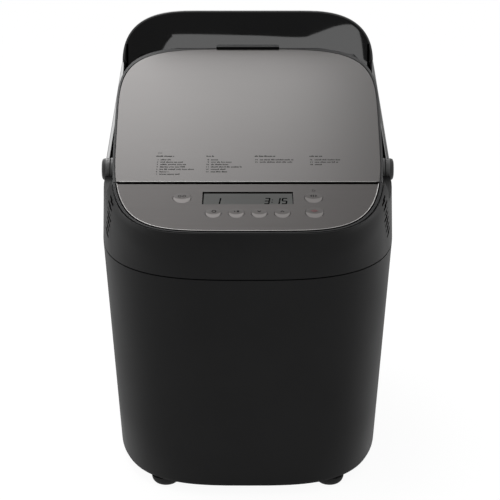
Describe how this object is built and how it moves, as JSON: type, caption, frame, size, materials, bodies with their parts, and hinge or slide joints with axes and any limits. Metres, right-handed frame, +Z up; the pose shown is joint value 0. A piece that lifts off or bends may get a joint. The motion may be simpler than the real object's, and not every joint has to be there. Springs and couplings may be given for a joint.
{
  "type": "bread machine",
  "caption": "Oval bread machine with a sloping key panel, a hinged metal-faced lid, a swinging carrying handle, and a baking chamber with a pan and a belt-driven kneading blade.",
  "frame": {"origin": "on the floor, under the middle of the bounding box", "axes": "+X to the machine's right as seen from the front, +Y to its back, +Z up; the control panel faces -Y"},
  "size_m": [0.2628, 0.4077, 0.36],
  "materials": {
    "housing_black": "satin, moulded, slightly grained",
    "trim_black": "satin",
    "handle_black": "glossy",
    "cap_grey": "satin",
    "metal_face": "fine horizontal brushing, warm grey",
    "key_metallic": "metallic paint, satin",
    "display_lens": "clear lens over a grey liquid crystal display",
    "lamp_red": "translucent",
    "grey_plastic": "moulded",
    "circuit_board": "solder resist",
    "foot_rubber": "matt",
    "seal_rubber": "matt silicone",
    "belt_rubber": "matt",
    "sheet_steel": "plain sheet",
    "sheet_aluminium": "plain sheet",
    "cast_aluminium": "as cast",
    "steel": "turned",
    "heater_sheath": "dark, oxidised",
    "pan_coating": "dark non-stick coating",
    "bronze": "sintered",
    "motor_case": "cast"
  },
  "bodies": {
    "housing": {"lower_housing": "housing_black", "upper_housing": "housing_black", "base_plate": "housing_black", "rubber_feet": "foot_rubber", "base_screws": "steel", "panel_plate": "metal_face", "panel_frame": "trim_black", "display_window": "display_lens", "display_module": "grey_plastic", "control_board": "circuit_board", "key_switches": "grey_plastic", "board_bracket": "grey_plastic", "start_lamp": "lamp_red", "lid_hinge_pins": "steel", "handle_pivot_pins": "steel", "oven_liner": "sheet_steel", "liner_brackets": "sheet_steel", "heater_element": "heater_sheath", "temperature_sensor": "steel", "bread_pan": "pan_coating", "pan_bail": "steel", "pan_bush": "steel", "chassis_plate": "sheet_steel", "bearing_block": "cast_aluminium", "shaft_bushes": "bronze", "drive_belt": "belt_rubber", "motor": "motor_case", "power_board": "circuit_board", "cord_gland": "housing_black"},
    "lid": {"lid_shell": "trim_black", "lid_plate": "metal_face", "lid_liner": "sheet_aluminium", "lid_seal": "seal_rubber"},
    "handle": {"handle_bail": "handle_black", "handle_pivot_caps": "cap_grey"},
    "menu_key_body": {"menu_key": "key_metallic"},
    "clock_key_body": {"clock_key": "key_metallic"},
    "size_key_body": {"size_key": "key_metallic"},
    "down_key_body": {"down_key": "key_metallic"},
    "up_key_body": {"up_key": "key_metallic"},
    "start_key_body": {"start_key": "key_metallic"},
    "stop_key_body": {"stop_key": "key_metallic"},
    "kneader": {"kneading_blade": "pan_coating", "pan_shaft": "steel", "pan_coupling": "grey_plastic", "drive_coupling": "grey_plastic", "drive_shaft": "steel", "large_pulley": "grey_plastic"},
    "motor_rotor": {"motor_pulley": "grey_plastic", "motor_shaft": "steel"}
  },
  "joints": [
    {"name": "lid_hinge", "type": "hinge", "parent": "housing", "child": "lid", "pos_m": [0, 0.152, 0.31011], "axis": [-1, 0, 0], "range_deg": [0, 80]},
    {"name": "handle_pivot", "type": "hinge", "parent": "housing", "child": "handle", "pos_m": [0, -0.029, 0.24739], "axis": [1, 0, 0], "range_deg": [0, 75]},
    {"name": "menu_press", "type": "slide", "parent": "housing", "child": "menu_key_body", "axis": [0, 0.309, -0.9511], "range_m": [0, 0.0007], "stiffness_N_per_m": 1000},
    {"name": "clock_press", "type": "slide", "parent": "housing", "child": "clock_key_body", "axis": [0, 0.309, -0.9511], "range_m": [0, 0.0007], "stiffness_N_per_m": 1000},
    {"name": "size_press", "type": "slide", "parent": "housing", "child": "size_key_body", "axis": [0, 0.309, -0.9511], "range_m": [0, 0.0007], "stiffness_N_per_m": 1000},
    {"name": "down_press", "type": "slide", "parent": "housing", "child": "down_key_body", "axis": [0, 0.309, -0.9511], "range_m": [0, 0.0007], "stiffness_N_per_m": 1000},
    {"name": "up_press", "type": "slide", "parent": "housing", "child": "up_key_body", "axis": [0, 0.309, -0.9511], "range_m": [0, 0.0007], "stiffness_N_per_m": 1000},
    {"name": "start_press", "type": "slide", "parent": "housing", "child": "start_key_body", "axis": [0, 0.309, -0.9511], "range_m": [0, 0.0007], "stiffness_N_per_m": 1000},
    {"name": "stop_press", "type": "slide", "parent": "housing", "child": "stop_key_body", "axis": [0, 0.309, -0.9511], "range_m": [0, 0.0007], "stiffness_N_per_m": 1000},
    {"name": "kneader_spin", "type": "hinge", "parent": "housing", "child": "kneader", "pos_m": [0, 0.024, 0.05], "axis": [0, 0, 1], "continuous": true},
    {"name": "motor_spin", "type": "hinge", "parent": "housing", "child": "motor_rotor", "pos_m": [0, -0.112, 0.05], "axis": [0, 0, 1], "continuous": true}
  ],
  "couplings": [
    {"joint": "motor_spin", "follows": "kneader_spin", "ratio": 5.5}
  ]
}
